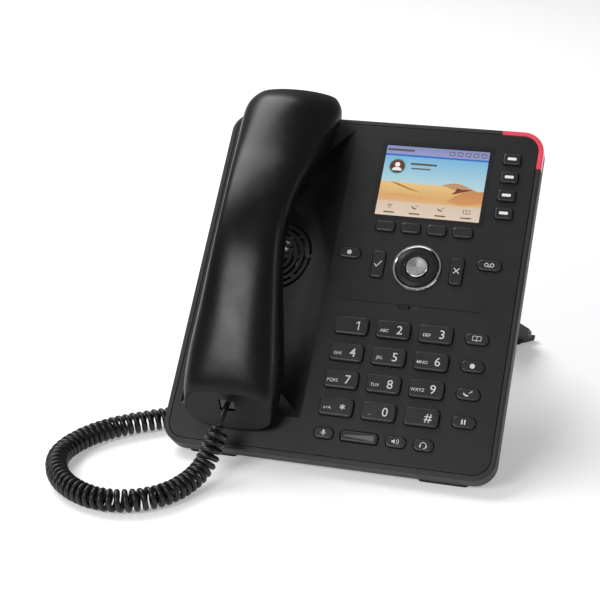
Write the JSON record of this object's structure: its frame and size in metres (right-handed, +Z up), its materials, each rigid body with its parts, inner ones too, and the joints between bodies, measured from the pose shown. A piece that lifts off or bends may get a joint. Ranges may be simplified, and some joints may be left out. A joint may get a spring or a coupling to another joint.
{
  "type": "desk ip phone",
  "caption": "Desk IP phone: black sloping housing with colour display and keypad, handset in a cradle on a coiled cord, clip-on footstand.",
  "frame": {"origin": "middle of the footprint on the table, leaving out the cord", "axes": "+Z up, -Y towards the user, +X to the user's right; the face leans back 46 degrees about X"},
  "size_m": [0.23, 0.2736, 0.1708],
  "materials": {
    "cover_black": "fine matt texture",
    "key_black": "satin",
    "handset_black": "satin",
    "nav_gloss": "gloss",
    "lens_red": "translucent",
    "display_glass": "polished",
    "lcd_panel": "backlit",
    "board_green": "solder mask",
    "silicone_grey": "matt",
    "speaker_metal": "satin",
    "trim_chrome": "polished",
    "ok_silver": "brushed in circles",
    "jack_black": "satin",
    "foot_rubber": "matt",
    "screw_steel": "zinc plated",
    "plug_clear": "smoky clear",
    "cord_black": "satin jacket"
  },
  "bodies": {
    "housing": {"rear_cover": "cover_black", "front_cover": "cover_black", "message_light_lens": "lens_red", "display_window": "display_glass", "lcd_module": "lcd_panel", "main_board": "board_green", "key_mat": "silicone_grey", "loudspeaker": "speaker_metal", "nav_trim": "trim_chrome", "handset_rest_hook": "cover_black", "jack_block": "jack_black", "rubber_feet": "foot_rubber", "cover_screws": "screw_steel", "base_plug": "plug_clear", "cord_tail_lower": "cord_black", "handset_cord": "cord_black"},
    "handset": {"handset_back_shell": "handset_black", "handset_inner_shell": "handset_black", "earpiece_receiver": "speaker_metal", "handset_microphone": "speaker_metal", "handset_plug": "plug_clear", "cord_tail_upper": "cord_black"},
    "stand": {"footstand": "cover_black", "stand_feet": "foot_rubber"},
    "hook_switch": {"hook_lever": "cover_black"},
    "nav_gimbal": {"nav_carrier": "jack_black"},
    "nav_pad": {"nav_rocker": "nav_gloss"},
    "ok": {"ok_button": "ok_silver"},
    "volume": {"volume_rocker": "key_black"},
    "key_1_cap": {"key_1": "key_black"},
    "key_2_cap": {"key_2": "key_black"},
    "key_3_cap": {"key_3": "key_black"},
    "key_4_cap": {"key_4": "key_black"},
    "key_5_cap": {"key_5": "key_black"},
    "key_6_cap": {"key_6": "key_black"},
    "key_7_cap": {"key_7": "key_black"},
    "key_8_cap": {"key_8": "key_black"},
    "key_9_cap": {"key_9": "key_black"},
    "key_star_cap": {"key_star": "key_black"},
    "key_0_cap": {"key_0": "key_black"},
    "key_hash_cap": {"key_hash": "key_black"},
    "soft_key_1_cap": {"soft_key_1": "key_black"},
    "soft_key_2_cap": {"soft_key_2": "key_black"},
    "soft_key_3_cap": {"soft_key_3": "key_black"},
    "soft_key_4_cap": {"soft_key_4": "key_black"},
    "line_key_1_cap": {"line_key_1": "key_black"},
    "line_key_2_cap": {"line_key_2": "key_black"},
    "line_key_3_cap": {"line_key_3": "key_black"},
    "line_key_4_cap": {"line_key_4": "key_black"},
    "directory_key_cap": {"directory_key": "key_black"},
    "menu_key_cap": {"menu_key": "key_black"},
    "transfer_key_cap": {"transfer_key": "key_black"},
    "hold_key_cap": {"hold_key": "key_black"},
    "mute_key_cap": {"mute_key": "key_black"},
    "speaker_key_cap": {"speaker_key": "key_black"},
    "headset_key_cap": {"headset_key": "key_black"},
    "confirm_key_cap": {"confirm_key": "key_black"},
    "cancel_key_cap": {"cancel_key": "key_black"},
    "dnd_key_cap": {"dnd_key": "key_black"},
    "voicemail_key_cap": {"voicemail_key": "key_black"}
  },
  "joints": [
    {"name": "handset_lift", "type": "slide", "parent": "housing", "child": "handset", "axis": [0, -0.7193, 0.6947], "range_m": [0, 0.08]},
    {"name": "hook_switch_tilt", "type": "hinge", "parent": "housing", "child": "hook_switch", "pos_m": [-0.0508, 0.01177, 0.10594], "axis": [1, 0, 0], "range_deg": [0, 8]},
    {"name": "stand_release", "type": "slide", "parent": "housing", "child": "stand", "axis": [0, -0.6947, -0.7193], "range_m": [0, 0.008]},
    {"name": "nav_left_right", "type": "hinge", "parent": "housing", "child": "nav_gimbal", "pos_m": [0.0315, -0.02122, 0.08762], "axis": [0, 0.6947, 0.7193], "range_deg": [-3, 3], "stiffness_Nm_per_rad": 0.2},
    {"name": "nav_up_down", "type": "hinge", "parent": "nav_gimbal", "child": "nav_pad", "pos_m": [0.0315, -0.02122, 0.08762], "axis": [1, 0, 0], "range_deg": [-3, 3], "stiffness_Nm_per_rad": 0.2},
    {"name": "ok_press", "type": "slide", "parent": "housing", "child": "ok", "axis": [0, 0.7193, -0.6947], "range_m": [0, 0.001], "stiffness_N_per_m": 500},
    {"name": "volume_tilt", "type": "hinge", "parent": "housing", "child": "volume", "pos_m": [0.0173, -0.08816, 0.01686], "axis": [0, 0.6947, 0.7193], "range_deg": [-4, 4], "stiffness_Nm_per_rad": 0.15},
    {"name": "key_1_press", "type": "slide", "parent": "housing", "child": "key_1_cap", "axis": [0, 0.7193, -0.6947], "range_m": [0, 0.0012], "stiffness_N_per_m": 400},
    {"name": "key_2_press", "type": "slide", "parent": "housing", "child": "key_2_cap", "axis": [0, 0.7193, -0.6947], "range_m": [0, 0.0012], "stiffness_N_per_m": 400},
    {"name": "key_3_press", "type": "slide", "parent": "housing", "child": "key_3_cap", "axis": [0, 0.7193, -0.6947], "range_m": [0, 0.0012], "stiffness_N_per_m": 400},
    {"name": "key_4_press", "type": "slide", "parent": "housing", "child": "key_4_cap", "axis": [0, 0.7193, -0.6947], "range_m": [0, 0.0012], "stiffness_N_per_m": 400},
    {"name": "key_5_press", "type": "slide", "parent": "housing", "child": "key_5_cap", "axis": [0, 0.7193, -0.6947], "range_m": [0, 0.0012], "stiffness_N_per_m": 400},
    {"name": "key_6_press", "type": "slide", "parent": "housing", "child": "key_6_cap", "axis": [0, 0.7193, -0.6947], "range_m": [0, 0.0012], "stiffness_N_per_m": 400},
    {"name": "key_7_press", "type": "slide", "parent": "housing", "child": "key_7_cap", "axis": [0, 0.7193, -0.6947], "range_m": [0, 0.0012], "stiffness_N_per_m": 400},
    {"name": "key_8_press", "type": "slide", "parent": "housing", "child": "key_8_cap", "axis": [0, 0.7193, -0.6947], "range_m": [0, 0.0012], "stiffness_N_per_m": 400},
    {"name": "key_9_press", "type": "slide", "parent": "housing", "child": "key_9_cap", "axis": [0, 0.7193, -0.6947], "range_m": [0, 0.0012], "stiffness_N_per_m": 400},
    {"name": "key_star_press", "type": "slide", "parent": "housing", "child": "key_star_cap", "axis": [0, 0.7193, -0.6947], "range_m": [0, 0.0012], "stiffness_N_per_m": 400},
    {"name": "key_0_press", "type": "slide", "parent": "housing", "child": "key_0_cap", "axis": [0, 0.7193, -0.6947], "range_m": [0, 0.0012], "stiffness_N_per_m": 400},
    {"name": "key_hash_press", "type": "slide", "parent": "housing", "child": "key_hash_cap", "axis": [0, 0.7193, -0.6947], "range_m": [0, 0.0012], "stiffness_N_per_m": 400},
    {"name": "soft_key_1_press", "type": "slide", "parent": "housing", "child": "soft_key_1_cap", "axis": [0, 0.7193, -0.6947], "range_m": [0, 0.0012], "stiffness_N_per_m": 400},
    {"name": "soft_key_2_press", "type": "slide", "parent": "housing", "child": "soft_key_2_cap", "axis": [0, 0.7193, -0.6947], "range_m": [0, 0.0012], "stiffness_N_per_m": 400},
    {"name": "soft_key_3_press", "type": "slide", "parent": "housing", "child": "soft_key_3_cap", "axis": [0, 0.7193, -0.6947], "range_m": [0, 0.0012], "stiffness_N_per_m": 400},
    {"name": "soft_key_4_press", "type": "slide", "parent": "housing", "child": "soft_key_4_cap", "axis": [0, 0.7193, -0.6947], "range_m": [0, 0.0012], "stiffness_N_per_m": 400},
    {"name": "line_key_1_press", "type": "slide", "parent": "housing", "child": "line_key_1_cap", "axis": [0, 0.7193, -0.6947], "range_m": [0, 0.0012], "stiffness_N_per_m": 400},
    {"name": "line_key_2_press", "type": "slide", "parent": "housing", "child": "line_key_2_cap", "axis": [0, 0.7193, -0.6947], "range_m": [0, 0.0012], "stiffness_N_per_m": 400},
    {"name": "line_key_3_press", "type": "slide", "parent": "housing", "child": "line_key_3_cap", "axis": [0, 0.7193, -0.6947], "range_m": [0, 0.0012], "stiffness_N_per_m": 400},
    {"name": "line_key_4_press", "type": "slide", "parent": "housing", "child": "line_key_4_cap", "axis": [0, 0.7193, -0.6947], "range_m": [0, 0.0012], "stiffness_N_per_m": 400},
    {"name": "directory_key_press", "type": "slide", "parent": "housing", "child": "directory_key_cap", "axis": [0, 0.7193, -0.6947], "range_m": [0, 0.0012], "stiffness_N_per_m": 400},
    {"name": "menu_key_press", "type": "slide", "parent": "housing", "child": "menu_key_cap", "axis": [0, 0.7193, -0.6947], "range_m": [0, 0.0012], "stiffness_N_per_m": 400},
    {"name": "transfer_key_press", "type": "slide", "parent": "housing", "child": "transfer_key_cap", "axis": [0, 0.7193, -0.6947], "range_m": [0, 0.0012], "stiffness_N_per_m": 400},
    {"name": "hold_key_press", "type": "slide", "parent": "housing", "child": "hold_key_cap", "axis": [0, 0.7193, -0.6947], "range_m": [0, 0.0012], "stiffness_N_per_m": 400},
    {"name": "mute_key_press", "type": "slide", "parent": "housing", "child": "mute_key_cap", "axis": [0, 0.7193, -0.6947], "range_m": [0, 0.0012], "stiffness_N_per_m": 400},
    {"name": "speaker_key_press", "type": "slide", "parent": "housing", "child": "speaker_key_cap", "axis": [0, 0.7193, -0.6947], "range_m": [0, 0.0012], "stiffness_N_per_m": 400},
    {"name": "headset_key_press", "type": "slide", "parent": "housing", "child": "headset_key_cap", "axis": [0, 0.7193, -0.6947], "range_m": [0, 0.0012], "stiffness_N_per_m": 400},
    {"name": "confirm_key_press", "type": "slide", "parent": "housing", "child": "confirm_key_cap", "axis": [0, 0.7193, -0.6947], "range_m": [0, 0.0012], "stiffness_N_per_m": 400},
    {"name": "cancel_key_press", "type": "slide", "parent": "housing", "child": "cancel_key_cap", "axis": [0, 0.7193, -0.6947], "range_m": [0, 0.0012], "stiffness_N_per_m": 400},
    {"name": "dnd_key_press", "type": "slide", "parent": "housing", "child": "dnd_key_cap", "axis": [0, 0.7193, -0.6947], "range_m": [0, 0.0012], "stiffness_N_per_m": 400},
    {"name": "voicemail_key_press", "type": "slide", "parent": "housing", "child": "voicemail_key_cap", "axis": [0, 0.7193, -0.6947], "range_m": [0, 0.0012], "stiffness_N_per_m": 400}
  ],
  "couplings": [
    {"joint": "hook_switch_tilt", "follows": "handset_lift", "rad_per_m": 1.7436}
  ]
}
